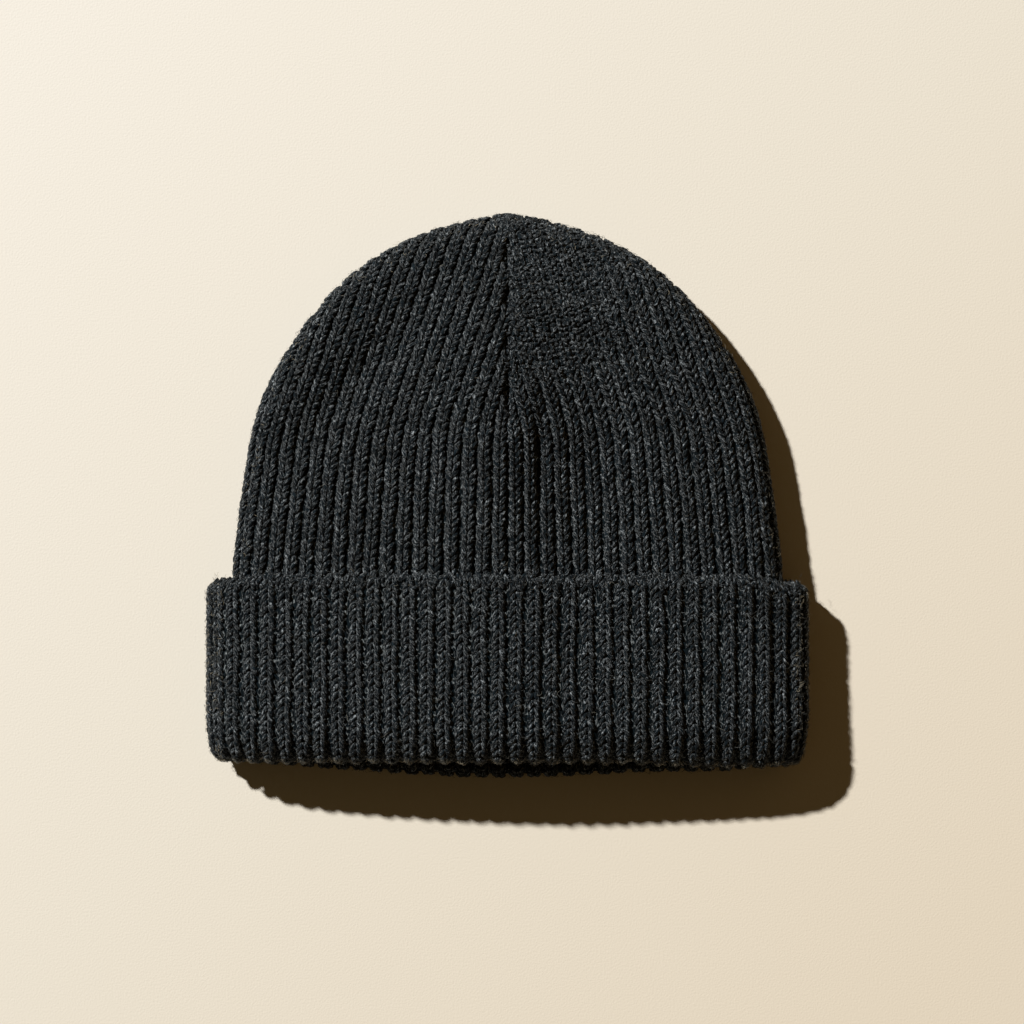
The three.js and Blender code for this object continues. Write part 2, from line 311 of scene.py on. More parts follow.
def new_piece(name, vertices, faces, material, node, attributes=()):
    """A piece that stands for a node, from arrays of vertices and of faces with equal numbers of corners."""
    mesh = bpy.data.meshes.new(name)
    corners = np.concatenate([block.ravel() for block in faces])
    sizes = np.concatenate([np.full(len(block), block.shape[1]) for block in faces])
    mesh.vertices.add(len(vertices))
    mesh.vertices.foreach_set("co", vertices.astype(np.float32).ravel())
    mesh.loops.add(len(corners))
    mesh.loops.foreach_set("vertex_index", corners.astype(np.int32))
    mesh.polygons.add(len(sizes))
    mesh.polygons.foreach_set("loop_start", (np.cumsum(sizes) - sizes).astype(np.int32))
    mesh.update(calc_edges=True)
    mesh.polygons.foreach_set("use_smooth", np.ones(len(sizes), bool))
    for label, values in attributes:
        layer = mesh.attributes.new(label, "FLOAT_VECTOR", "POINT")
        layer.data.foreach_set("vector", values.astype(np.float32).ravel())
    mesh.validate()
    mesh.materials.append(material)
    piece = bpy.data.objects.new(name, mesh)
    bpy.context.scene.collection.objects.link(piece)
    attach(piece, "root")
    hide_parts(node)


YARN_OFFSET = 400


def strand_arrays(place, side, sheet, centres, radii, sides=5, flatness=0.8):
    """Closed strands of yarn, from the across, along and rise of each strand's rings, and their radii."""
    count, rings = radii.shape
    along = np.gradient(centres, axis=1)
    along /= np.linalg.norm(along, axis=2, keepdims=True)
    beside = np.cross(along, (0.0, 0.0, 1.0))
    beside /= np.linalg.norm(beside, axis=2, keepdims=True) + 1e-9
    above = np.cross(beside, along)
    angle = np.arange(sides) * 2 * math.pi / sides
    upright = flatness * above[:, :, None] * np.sin(angle)[:, None]
    ring = beside[:, :, None] * np.cos(angle)[:, None] + upright
    local = centres[:, :, None] + radii[:, :, None, None] * ring
    spread = [np.broadcast_to(values[:, None, None], local.shape[:3]) for values in (side, sheet)]
    vertices = place(*spread, local[..., 0], local[..., 1], local[..., 2]).reshape(-1, 3)

    index = np.arange(count * rings * sides).reshape(count, rings, sides)
    beyond = np.roll(index, -1, axis=2)
    walls = np.stack([index[:, :-1], beyond[:, :-1], beyond[:, 1:], index[:, 1:]], axis=-1).reshape(-1, 4)
    ends = np.concatenate([index[:, 0, ::-1], index[:, -1]])
    flip = np.broadcast_to((side * sheet)[:, None, None] > 0, (count, rings - 1, sides)).reshape(-1)
    end_flip = np.tile(side * sheet > 0, 2)
    walls[flip] = walls[flip][:, ::-1]
    ends[end_flip] = ends[end_flip][:, ::-1]

    step = np.linalg.norm(np.diff(centres, axis=1), axis=2)
    run = np.concatenate([np.zeros((count, 1)), np.cumsum(step, axis=1)], axis=1)
    start = RANDOM.uniform(0, YARN_OFFSET, (count, 2))
    tone = RANDOM.random(count)
    yarn = np.empty(local.shape)
    yarn[..., 0] = run[:, :, None] + start[:, None, None, 0]
    yarn[..., 1] = radii[:, :, None] * np.cos(angle) + start[:, None, None, 1]
    yarn[..., 2] = radii[:, :, None] * np.sin(angle)
    tones = np.broadcast_to(tone[:, None, None, None], local.shape)
    return vertices, [walls, ends], yarn.reshape(-1, 3), tones.reshape(-1, 3)


def strand_piece(name, parts, material, node):
    """One piece from several lots of strands."""
    vertices, yarn, tones, blocks, offset = [], [], [], [], 0
    for part_vertices, part_faces, part_yarn, part_tones in parts:
        vertices.append(part_vertices)
        yarn.append(part_yarn)
        tones.append(part_tones)
        blocks += [block + offset for block in part_faces]
        offset += len(part_vertices)
    attributes = (("yarn", np.concatenate(yarn)), ("tone", np.concatenate(tones)))
    new_piece(name, np.concatenate(vertices), blocks, material, node, attributes)


# One leg of a knitted V from foot to head, in courses along and shares of the rib's half width beside
LEG = np.array([
    # along, beside, rise, radius
    (-0.50, 0.07, -1.00, 0.45),
    (-0.15, 0.20, -0.50, 0.82),
    (0.28, 0.40, -0.56, 0.94),
    (0.68, 0.60, -0.86, 0.88),
    (1.02, 0.71, -1.42, 0.50),
])

# How much stitches and their legs differ from the next, and how deep a loose stitch sinks
STITCH_LEAN = 0.07
LEG_LEAN = 0.06
STITCH_SHIFT = 0.14
STITCH_LIFT = 0.10
STITCH_WIDTH = 0.05
LEG_THICKNESS = 0.06
LOOSE_SINK = 1.2


def knit_stitches(place, rows, width):
    """Two legs for each stitch. width is that of a rib with its groove."""
    side, sheet, across, along, lean, rise, loose, wide = rows.T
    heading = np.stack([lean, rise], axis=1)
    heading /= np.linalg.norm(heading, axis=1, keepdims=True)
    count = len(across)
    wobble = RANDOM.normal(0, 1, (count, 4)) * loose[:, None]
    parts = []
    for hand in (-1, 1):
        own = RANDOM.normal(0, 1, (count, 3)) * loose[:, None]
        ahead = LEG[:, 0] * COURSE
        spread = 1 + STITCH_WIDTH * (wobble[:, 2, None] + own[:, 2, None])
        beside = hand * LEG[:, 1] * width / 2 * wide[:, None] * spread
        tilt = STITCH_LEAN * wobble[:, 0, None] + LEG_LEAN * own[:, 0, None]
        forward = ahead + STITCH_SHIFT * (wobble[:, 1, None] + own[:, 1, None])
        sideways = beside + tilt * ahead
        centres = np.empty((count, len(LEG), 3))
        centres[..., 0] = across[:, None] + forward * heading[:, 0, None] + sideways * heading[:, 1, None]
        centres[..., 1] = along[:, None] + forward * heading[:, 1, None] - sideways * heading[:, 0, None]
        centres[..., 2] = LEG[:, 2] + STITCH_LIFT * wobble[:, 3, None] - LOOSE_SINK * (loose[:, None] - 1)
        radii = LEG[:, 3] * (1 + LEG_THICKNESS * own[:, 2, None])
        parts.append(strand_arrays(place, side, sheet, centres, radii))
    return parts


WANDER = 0.16
CROWN_WANDER_LENGTH = 62.0
CUFF_WANDER_LENGTH = 55.0


def wandering(places, length):
    """A slow seeded wander to and fro along a rib."""
    total = np.zeros(len(places))
    for octave in (1.0, 1.7, 2.9):
        phase = RANDOM.uniform(0, 2 * math.pi)
        total += np.sin(places * 2 * math.pi * octave / length + phase) / octave
    return WANDER * total


# The flat, uneven knit on the right of the crown's seam, in signed places on its front sheet
ROUGH_ACROSS = (0.4, 2.0, 24.0, 52.0)
ROUGH_UP = (62.0, 88.0)
ROUGH_LOOSENESS = 0.7


def roughness(side, sheet, across, height):
    within = smooth_step(across, *ROUGH_ACROSS[:2]) * (1 - smooth_step(across, *ROUGH_ACROSS[2:]))
    return within * smooth_step(height, *ROUGH_UP) * ((side > 0) & (sheet > 0))


CROWN_START = -3.0
SEAM_CLEARANCE = 0.6


def crown_courses(sheet_wanted, places, spacing=COURSE):
    """The stitches of one sheet of the crown, along lines at these places counted in ribs from the middle."""
    rows = []
    for side, sheet in QUARTERS:
        if sheet != sheet_wanted:
            continue
        for share in places / RIBS_PER_QUARTER:
            heights = np.linspace(CROWN_START, rib_end(share), 400)
            across = rib_across(share, heights)
            run = np.concatenate([[0], np.cumsum(np.hypot(np.diff(across), np.diff(heights)))])
            stops = np.arange(RANDOM.uniform(0, 0.5) * spacing, run[-1] - 0.2 * spacing, spacing)
            height = np.interp(stops, run, heights)
            place = np.interp(stops, run, across) + wandering(stops, CROWN_WANDER_LENGTH)
            lean = np.gradient(place, stops)
            rise = np.gradient(height, stops)
            loose = 1 + ROUGH_LOOSENESS * roughness(side, sheet, place, height)
            place = np.maximum(place, SEAM_CLEARANCE)
            block = np.broadcast_arrays(side, sheet, place, height, lean, rise, loose, 1.0)
            rows.append(np.stack(block, axis=1))
    return np.concatenate(rows)


# The front's stitches get narrower towards the right, and the ribs' wander fades at the sides
CUFF_NARROWING = 0.12
CUFF_NARROWING_ACROSS = (10, 100)
CUFF_WANDER_FADE = 6


def cuff_courses(sheet_wanted, first, last):
    """Every stitch of one sheet of the cuff between two distances from its cast-on edge."""
    rows = []
    for side, sheet in QUARTERS:
        if sheet != sheet_wanted:
            continue
        for share in RIB_MIDDLES / RIBS_PER_QUARTER:
            along = np.arange(first + RANDOM.uniform(0, 0.5) * COURSE, last, COURSE)
            wander = wandering(along, CUFF_WANDER_LENGTH) * (1 - share ** CUFF_WANDER_FADE)
            across = share * CUFF_LAYOUT_WIDTH + wander
            lean = np.gradient(across, along)
            wide = 1 - CUFF_NARROWING * smooth_step(side * across, *CUFF_NARROWING_ACROSS) * (sheet > 0)
            block = np.broadcast_arrays(side, sheet, across, along, lean, 1.0, 1.0, wide)
            rows.append(np.stack(block, axis=1))
    return np.concatenate(rows)


LOOP_END = 0.55


def small_loops(place, side, sheet, across, along, rise, direction, size, loop):
    """Short bowed strands. A loop is a length, a radius and a bow. A direction of 0 is across the sheet."""
    length, radius, bow = loop
    reach = length * size
    part = np.array([-0.5, -0.2, 0.2, 0.5])
    arch = 1 - (2 * part) ** 2
    centres = np.empty((len(across), len(part), 3))
    centres[..., 0] = across[:, None] + part * (reach * np.cos(direction))[:, None]
    centres[..., 1] = along[:, None] + part * (reach * np.sin(direction))[:, None]
    centres[..., 2] = rise[:, None] - bow * (1 - arch)
    radii = (radius * size)[:, None] * (LOOP_END + (1 - LOOP_END) * arch)
    return strand_arrays(place, side, sheet, centres, radii)


# Lines of small loops: their places across a rib from groove to groove, their level, and the loops' turn
BUMP_LINES = ((0.0, -1.25, 1.57), (0.33, -0.55, -0.55), (0.67, -0.55, 0.55))
BUMP_SPACING = 1.8
BUMP_SHARE = 1.3
BUMP_LOOP = (1.9, 0.82, 0.4)


def purl_bumps():
    """The small crowded loops of the flat, uneven knit, on lines that follow its ribs."""
    parts = []
    for place, level, turn in BUMP_LINES:
        rows = crown_courses(1, np.arange(1, RIBS_PER_QUARTER) + place, BUMP_SPACING)
        rough = roughness(rows[:, 0], rows[:, 1], rows[:, 2], rows[:, 3])
        rows = rows[RANDOM.random(len(rows)) < BUMP_SHARE * rough]
        side, sheet, across, along, lean, rise = rows.T[:6]
        count = len(rows)
        direction = np.arctan2(rise, lean) + turn + RANDOM.normal(0, 0.5, count)
        across = across + RANDOM.normal(0, 0.22, count)
        along = along + RANDOM.normal(0, 0.28, count)
        size = RANDOM.uniform(0.85, 1.15, count)
        rise = level + 0.16 * RANDOM.normal(0, 1, count)
        parts.append(small_loops(crown_place, side, sheet, across, along, rise, direction, size, BUMP_LOOP))
    return parts


# The seam's loops lie higher on the right half of the front and the left half of the back
SEAM_SPACING = 1.7
SEAM_START = 0.3
SEAM_REACH = 1.3
SEAM_HIGH = -0.9
SEAM_LOW = -1.9
SEAM_LOOP = (2.6, 0.8, 0.4)


def seam_loops():
    """The small loops that close the crown's middle seam, deep between the ribs that end on it."""
    along = np.arange(DART_HEIGHT, LAYOUT_TOP - 3, SEAM_SPACING)
    count = len(along)
    parts = []
    for side_value, sheet_value in QUARTERS:
        across = SEAM_START + SEAM_REACH * RANDOM.random(count)
        level = SEAM_HIGH if side_value * sheet_value > 0 else SEAM_LOW
        rise = level + 0.25 * RANDOM.normal(0, 1, count)
        direction = QUARTER_TURN + RANDOM.normal(0, 0.6, count)
        size = RANDOM.uniform(0.8, 1.2, count)
        side = np.full(count, side_value)
        sheet = np.full(count, sheet_value)
        parts.append(small_loops(crown_place, side, sheet, across, along, rise, direction, size, SEAM_LOOP))
    return parts


GATHERED_COUNT = 90
GATHERED_REACH = 3.5
GATHERED_HEIGHT = 9.0
GATHERED_LEVEL = -0.55
GATHERED_LOOP = (3.4, 1.0, 0.7)


def gathered_top():
    """The drawn-in stitches at the very top, over both sheets."""
    side, sheet = np.array(QUARTERS)[RANDOM.integers(0, len(QUARTERS), GATHERED_COUNT)].T
    across = np.abs(RANDOM.normal(0, GATHERED_REACH, GATHERED_COUNT))
    down = GATHERED_HEIGHT * RANDOM.random(GATHERED_COUNT) ** 1.4 + 0.06 * across ** 2
    along = LAYOUT_TOP - 0.4 - down
    direction = RANDOM.normal(QUARTER_TURN, 0.7, GATHERED_COUNT)
    size = RANDOM.uniform(0.85, 1.2, GATHERED_COUNT)
    rise = GATHERED_LEVEL + 0.2 * RANDOM.normal(0, 1, GATHERED_COUNT)
    return small_loops(crown_place, side, sheet, across, along, rise, direction, size, GATHERED_LOOP)


# Rows of loops on the cuff's upper edge: how far from the edge, and their level
CAST_ON_ROWS = ((0.9, -0.72), (2.1, -0.66), (3.5, -0.8), (0.7, -2.4))
CAST_ON_COUNT = 66
CAST_ON_LOOP = (2.7, 0.86, 0.5)


def cast_on_edge():
    """The fuzzy loops along the cuff's upper edge: rows on its outer face, and one on the thickness below."""
    parts = []
    for side_value, sheet_value in QUARTERS:
        for row, level in CAST_ON_ROWS:
            spots = (np.arange(CAST_ON_COUNT) + RANDOM.random(CAST_ON_COUNT)) / CAST_ON_COUNT
            across = spots * CUFF_LAYOUT_WIDTH
            side = np.full(CAST_ON_COUNT, side_value)
            sheet = np.full(CAST_ON_COUNT, sheet_value)
            along = row + 0.4 * RANDOM.normal(0, 1, CAST_ON_COUNT)
            rise = level + 0.14 * RANDOM.normal(0, 1, CAST_ON_COUNT)
            turn = QUARTER_TURN + RANDOM.normal(0, 0.75, CAST_ON_COUNT)
            size = RANDOM.uniform(0.8, 1.2, CAST_ON_COUNT)
            parts.append(small_loops(cuff_place, side, sheet, across, along, rise, turn, size, CAST_ON_LOOP))
    return parts


# Stray fibres: how many, their shortest and longest length, how far they stand off, and their lightest tone.
# Their light tone is painted tan rim light, fullest on the fibres along the outline and the lower fold
CROWN_FACE_FIBRES = (900, (1.5, 3.5), 0.3, 0.7)
CROWN_RIM_FIBRES = (1600, (1, 2.5), 0.8, 1.0)
CUFF_FACE_FIBRES = (700, (1.5, 3.5), 0.3, 0.7)
CUFF_RIM_FIBRES = (1900, (1, 2.5), 0.8, 1.0)
CUFF_LIP_FIBRES = (150, (1, 2.5), 0.3, 0.8)
CUFF_FOLD_FIBRES = (3000, (0.8, 2.0), 0.8, 1.0)
CUFF_UNDER_FIBRES = (500, (1, 2.5), 0.8, 0.8)
FIBRE_RADIUS = 0.055
FIBRE_TAPER = np.array([0.7, 1, 0.9, 0.5])
FIBRE_FOOT = -0.35
FIBRE_CURL = 1.4
FOLD_SPREAD = 0.5


def stray_fibres(place, rows, kind, spread=math.pi):
    """Fine curved fibres that stand a little off the stitches, in directions spread from crosswise."""
    count, lengths, lift, lightest = kind
    rings = len(FIBRE_TAPER)
    side, sheet, across, along = rows[RANDOM.integers(0, len(rows), count)].T[:4]
    part = np.linspace(0, 1, rings)
    curl = RANDOM.uniform(-spread, spread, (count, 1)) + RANDOM.normal(0, FIBRE_CURL, (count, 1)) * part
    step = RANDOM.uniform(*lengths, (count, 1)) / (rings - 1)
    start = np.stack([across, along], axis=1) + RANDOM.normal(0, 1, (count, 2)) * (1.2, 0.4 * spread)
    centres = np.empty((count, rings, 3))
    centres[..., 0] = start[:, :1] + np.cumsum(step * np.cos(curl), axis=1)
    centres[..., 1] = start[:, 1:] + np.cumsum(step * np.sin(curl), axis=1)
    reach = lift * RANDOM.random((count, 1)) ** 2
    bow = np.sin(part * math.pi * RANDOM.uniform(0.5, 1, (count, 1)))
    centres[..., 2] = FIBRE_FOOT + (0.5 + reach) * bow
    radii = FIBRE_RADIUS * RANDOM.uniform(0.7, 1.3, (count, 1)) * FIBRE_TAPER
    vertices, faces, yarn, tones = strand_arrays(place, side, sheet, centres, radii, sides=3, flatness=1.0)
    # Tones up to the lightest: the lighter fibres carry the painted tan rim light
    return vertices, faces, yarn, tones * lightest


# The ground lies this deep under a rib, and deeper between two
GROUND_DEPTH = 1.1
GROOVE_DEPTH = 0.5


def ground_depth(share, grooved=1.0):
    """How deep the ground lies. Grooved is the share of a groove's full depth."""
    return GROUND_DEPTH + GROOVE_DEPTH * grooved * np.abs(np.cos(math.pi * share * RIBS_PER_QUARTER)) ** 3


def ring_of_shares(steps):
    """Stations round the cap, steps to a quarter: side, sheet and share."""
    sides, sheets, shares = [], [], []
    for side, sheet in QUARTERS:
        share = np.arange(steps) / steps
        share = 1 - share if side * sheet < 0 else share
        sides.append(np.full(steps, side))
        sheets.append(np.full(steps, sheet))
        shares.append(share)
    return np.concatenate(sides), np.concatenate(sheets), np.concatenate(shares)


def ground_piece(name, rings, material, node):
    """The dark knit ground under the stitches: a closed skin through rings of stations."""
    vertices = np.concatenate(rings)
    index = np.arange(len(vertices)).reshape(len(rings), -1)
    index = np.concatenate([index, index[:1]])
    beyond = np.roll(index, -1, axis=1)
    faces = np.stack([index[:-1], beyond[:-1], beyond[1:], index[1:]], axis=-1).reshape(-1, 4)
    new_piece(name, vertices, [faces], material, node)


GROUND_STATIONS = RIBS_PER_QUARTER * 4
CROWN_GROUND_START = -10.0


def crown_ground(material):
    side, sheet, share = ring_of_shares(GROUND_STATIONS)
    end = np.array([DART_HEIGHT if s in (0.0, 1.0) else rib_end(s) for s in share])

    def ring(part, depth):
        height = CROWN_GROUND_START + (end - CROWN_GROUND_START) * part
        across = np.maximum(rib_across(share, height), 0)
        return crown_place(side, sheet, across, height, -depth)

    inner = [ring(part, WALL) for part in np.linspace(1, 0, 24)]
    outer = [ring(part, ground_depth(share)) for part in np.linspace(0, 1, 60)]
    ground_piece("crown_ground", inner + outer, material, "crown")


# The cuff's ground starts below the lip, and its grooves are shallower at the lip and round the fold
LIP = 0.6
LIP_GROOVES = (2, 7)
FOLD_GROOVES = (61, 68)
FOLD_GROOVE_LOSS = 0.6
INNER_BAND = 60.0
CUFF_GROUND_THICKNESS = WALL - 0.2


def cuff_ground(material):
    side, sheet, share = ring_of_shares(GROUND_STATIONS)
    across = share * CUFF_LAYOUT_WIDTH
    fold_from = -fold_start(sheet, share)
    fold_to = fold_from + math.pi * FOLD_RADIUS
    band_end = fold_to + INNER_BAND

    def outer(along):
        near_fold = smooth_step(along, *FOLD_GROOVES)
        grooved = smooth_step(along, *LIP_GROOVES) * (1 - FOLD_GROOVE_LOSS * near_fold)
        return cuff_place(side, sheet, across, along, -ground_depth(share, grooved))

    def inner(along):
        return cuff_place(side, sheet, across, along, -CUFF_GROUND_THICKNESS)

    face = [outer(LIP + (fold_from - LIP) * part) for part in np.linspace(0, 1, 30)]
    fold = [outer(fold_from + (fold_to - fold_from) * part) for part in np.linspace(0, 1, 10)[1:]]
    band = [outer(fold_to + INNER_BAND * part) for part in np.linspace(0, 1, 20)[1:]]
    under = [inner(along) for along in (band_end, fold_to, fold_from, np.full(len(across), LIP))]
    ground_piece("cuff_ground", (face + fold + band + under)[::-1], material, "cuff")


def node_of(tree, kind, **inputs):
    node = tree.nodes.new(kind)
    for key, value in inputs.items():
        setattr(node, key, value)
    return node


# The wool's colours, from the crest of a light fibre to the dark between fibres
WOOL_COLOURS = (
    (0.0, (0.208, 0.230, 0.243, 1)),
    (0.028, (0.059, 0.067, 0.073, 1)),
    (0.06, (0.0085, 0.0122, 0.0148, 1)),
    (0.11, (0.0038, 0.0070, 0.0094, 1)),
)
CREST_WIDTH = 0.1

# Grains to each fibre, their relief against that of the fibres, and their darkest and lightest share
GRAIN = 1.9
GRAIN_RELIEF = 0.5
GRAIN_SHADES = (0.3, 1.7)


def colour_ramp(tree, stops, factor):
    """A ramp through at least two stops, each a place and a colour."""
    ramp = node_of(tree, "ShaderNodeValToRGB")
    elements = ramp.color_ramp.elements
    for index, (position, colour) in enumerate(stops):
        stop = elements[index] if index < 2 else elements.new(position)
        stop.position = position
        stop.color = colour
    tree.links.new(factor, ramp.inputs["Fac"])
    return ramp.outputs["Color"]


def multiplied(tree, vector, factors):
    """A place or a colour, with each of its three parts multiplied by its own factor."""
    product = node_of(tree, "ShaderNodeVectorMath", operation="MULTIPLY")
    product.inputs[1].default_value = factors
    tree.links.new(vector, product.inputs[0])
    return product.outputs[0]


def fibre_distance(tree, place, stretch):
    """How far a place is from the crest of the nearest fibre."""
    noise = node_of(tree, "ShaderNodeTexNoise")
    noise.inputs["Scale"].default_value = 1.0
    noise.inputs["Detail"].default_value = 1.0
    noise.inputs["Roughness"].default_value = 0.4
    tree.links.new(multiplied(tree, place, stretch), noise.inputs["Vector"])
    centred = node_of(tree, "ShaderNodeMath", operation="SUBTRACT")
    centred.inputs[1].default_value = 0.5
    tree.links.new(noise.outputs["Fac"], centred.inputs[0])
    away = node_of(tree, "ShaderNodeMath", operation="ABSOLUTE")
    tree.links.new(centred.outputs[0], away.inputs[0])
    return away.outputs[0]


def grain_cells(tree, place, stretch):
    """A random colour for each grain of the wool, as its three channels."""
    cells = node_of(tree, "ShaderNodeTexVoronoi")
    cells.inputs["Scale"].default_value = 1.0
    finer = [GRAIN * part for part in stretch]
    tree.links.new(multiplied(tree, place, finer), cells.inputs["Vector"])
    channels = node_of(tree, "ShaderNodeSeparateColor")
    tree.links.new(cells.outputs["Color"], channels.inputs["Color"])
    return channels.outputs


def heather(tree, place, stretch):
    """The colour of heather wool, thin light fibres laid along dark ones, and the height of the fibres."""
    away = fibre_distance(tree, place, stretch)
    grain = grain_cells(tree, place, stretch)
    crest = node_of(tree, "ShaderNodeMapRange")
    crest.inputs["From Max"].default_value = CREST_WIDTH
    crest.inputs["To Min"].default_value = 1.0
    crest.inputs["To Max"].default_value = 0.0
    tree.links.new(away, crest.inputs["Value"])
    height = node_of(tree, "ShaderNodeMath", operation="MULTIPLY_ADD")
    height.inputs[1].default_value = GRAIN_RELIEF
    tree.links.new(grain["Green"], height.inputs[0])
    tree.links.new(crest.outputs["Result"], height.inputs[2])
    colour = scaled_colour(tree, colour_ramp(tree, WOOL_COLOURS, away), grain["Red"], *GRAIN_SHADES)
    return colour, height.outputs[0]


def add_relief(tree, shader, height, depth, strength=1.0):
    bump = node_of(tree, "ShaderNodeBump")
    bump.inputs["Strength"].default_value = strength
    bump.inputs["Distance"].default_value = depth * MM
    tree.links.new(height, bump.inputs["Height"])
    tree.links.new(bump.outputs["Normal"], shader.inputs["Normal"])


def scaled_colour(tree, colour, factor, low, high):
    """The colour made darker or lighter, between two shares, by a factor from 0 to 1."""
    shade = node_of(tree, "ShaderNodeMapRange")
    shade.inputs["To Min"].default_value = low
    shade.inputs["To Max"].default_value = high
    tree.links.new(factor, shade.inputs["Value"])
    tint = node_of(tree, "ShaderNodeVectorMath", operation="SCALE")
    tree.links.new(colour, tint.inputs[0])
    tree.links.new(shade.outputs["Result"], tint.inputs["Scale"])
    return tint.outputs["Vector"]


def new_material(name, roughness, specular):
    material = bpy.data.materials.new(name)
    material.use_nodes = True
    tree = material.node_tree
    shader = tree.nodes["Principled BSDF"]
    shader.inputs["Roughness"].default_value = roughness
    shader.inputs["Specular IOR Level"].default_value = specular
    return material, tree, shader


YARN_STRETCH = (0.55, 1.1, 1.1)
YARN_SHADES = (0.7, 1.3)
GROUND_STRETCH = (900, 400, 900)
# The ground's wool is a little darker than the ribs' wool: painted shade between the ribs
GROUND_PAINTED_SHADE = (0.85, 0.85, 0.82)
# From dark grey wool to a light tan, which is painted rim light on the fibres
FIBRE_AND_RIM_LIGHT_COLOURS = (
    (0.0, (0.02, 0.023, 0.022, 1)),
    (1.0, (0.42, 0.36, 0.25, 1)),
    (0.6, (0.10, 0.105, 0.10, 1)),
)


def yarn_material():
    """Heather wool, soft and matt."""
    material, tree, shader = new_material("heather_yarn", 0.85, 0.07)
    shader.inputs["Sheen Weight"].default_value = 0.12
    shader.inputs["Sheen Roughness"].default_value = 0.4
    shader.inputs["Sheen Tint"].default_value = (0.8, 0.82, 0.82, 1)
    yarn = node_of(tree, "ShaderNodeAttribute", attribute_name="yarn")
    tone = node_of(tree, "ShaderNodeAttribute", attribute_name="tone")
    colour, height = heather(tree, yarn.outputs["Vector"], YARN_STRETCH)
    shaded = scaled_colour(tree, colour, tone.outputs["Fac"], *YARN_SHADES)
    tree.links.new(shaded, shader.inputs["Base Color"])
    add_relief(tree, shader, height, 0.5)
    return material


def ground_material():
    """The same wool between the ribs, tinted a little darker: painted shade in the grooves."""
    material, tree, shader = new_material("shaded_knit", 0.95, 0.05)
    place = node_of(tree, "ShaderNodeTexCoord")
    colour, height = heather(tree, place.outputs["Object"], GROUND_STRETCH)
    tree.links.new(multiplied(tree, colour, GROUND_PAINTED_SHADE), shader.inputs["Base Color"])
    add_relief(tree, shader, height, 0.3)
    return material


def fibre_material():
    """Single fibres, from dark grey to light tan; the light tan is painted rim light."""
    material, tree, shader = new_material("stray_fibre", 0.7, 0.3)
    tone = node_of(tree, "ShaderNodeAttribute", attribute_name="tone")
    tree.links.new(colour_ramp(tree, FIBRE_AND_RIM_LIGHT_COLOURS, tone.outputs["Fac"]), shader.inputs["Base Color"])
    return material


# The paper goes from its first colour to its last while x minus y goes from minus to plus this, in metres.
# The cream grows warmer and a little darker towards the lower right: painted fall-off of the light
PAPER_REACH = 0.34
PAPER_AND_FALLOFF_COLOURS = (
    (0.0, (0.82, 0.785, 0.715, 1)),
    (1.0, (0.82, 0.73, 0.59, 1)),
    (0.5, (0.82, 0.768, 0.665, 1)),
)
PAPER_GRAIN = 1300.0


def paper_material():
    """Cream paper with a fine grain, with a painted fall-off of light, warmer and a little darker towards the
    lower right.
    """
    material, tree, shader = new_material("cream_paper", 0.9, 0.2)
    place = node_of(tree, "ShaderNodeTexCoord")
    slope = node_of(tree, "ShaderNodeVectorMath", operation="DOT_PRODUCT")
    slope.inputs[1].default_value = (1, -1, 0)
    tree.links.new(place.outputs["Object"], slope.inputs[0])
    share = node_of(tree, "ShaderNodeMapRange")
    share.inputs["From Min"].default_value = -PAPER_REACH
    share.inputs["From Max"].default_value = PAPER_REACH
    tree.links.new(slope.outputs["Value"], share.inputs["Value"])
    tree.links.new(colour_ramp(tree, PAPER_AND_FALLOFF_COLOURS, share.outputs["Result"]), shader.inputs["Base Color"])
    grain = node_of(tree, "ShaderNodeTexNoise")
    grain.inputs["Scale"].default_value = PAPER_GRAIN
    grain.inputs["Detail"].default_value = 3.0
    tree.links.new(place.outputs["Object"], grain.inputs["Vector"])
    add_relief(tree, shader, grain.outputs["Fac"], 0.2, 0.35)
    return material


# Half the floor's width, in metres
FLOOR_HALF = 6.0


def make_floor():
    mesh = bpy.data.meshes.new("floor")
    corners = [(x * FLOOR_HALF, y * FLOOR_HALF, 0) for x, y in ((-1, -1), (1, -1), (1, 1), (-1, 1))]
    mesh.from_pydata(corners, [], [(0, 1, 2, 3)])
    mesh.materials.append(paper_material())
    floor = bpy.data.objects.new("floor", mesh)
    bpy.context.scene.collection.objects.link(floor)


# The camera looks straight down, and its frame is 1024 pixels of this size. Its height is in metres
PIXEL = 220.0 / 601.5
FRAME_PIXELS = 1024
CAP_MIDDLE_PIXEL = 507.5
CUFF_EDGE_PIXEL = 575.0
CAMERA_HEIGHT = 1.4
SENSOR = 36.0
FOCUS_LEVEL = 15.0


def make_camera():
    half = FRAME_PIXELS / 2
    data = bpy.data.cameras.new("camera")
    data.sensor_width = SENSOR
    data.lens = SENSOR * (CAMERA_HEIGHT - FOCUS_LEVEL * MM) / (FRAME_PIXELS * PIXEL * MM)
    camera = bpy.data.objects.new("camera", data)
    x = (half - CAP_MIDDLE_PIXEL) * PIXEL * MM
    y = (CUFF_EDGE_PIXEL - half) * PIXEL * MM + CUFF_EDGE_Y
    camera.location = (x, y, CAMERA_HEIGHT)
    bpy.context.scene.collection.objects.link(camera)
    bpy.context.scene.camera = camera


# The lamp stands to the upper left. Its distance and size are in metres
LAMP_DISTANCE = 5.5
LAMP_SIZE = 0.235
LAMP_ELEVATION = math.radians(39.5)
LAMP_AZIMUTH = math.radians(46.7)
LAMP_POWER = 455.0
LAMP_COLOUR = (1.0, 0.985, 0.96)

# The studio's faint light, from its left end to its warmer right end
SKY_COLOURS = ((0.0, (0.05, 0.12, 0.11, 1)), (1.0, (0.985, 0.565, 0.185, 1)))
SKY_STRENGTH = 0.1


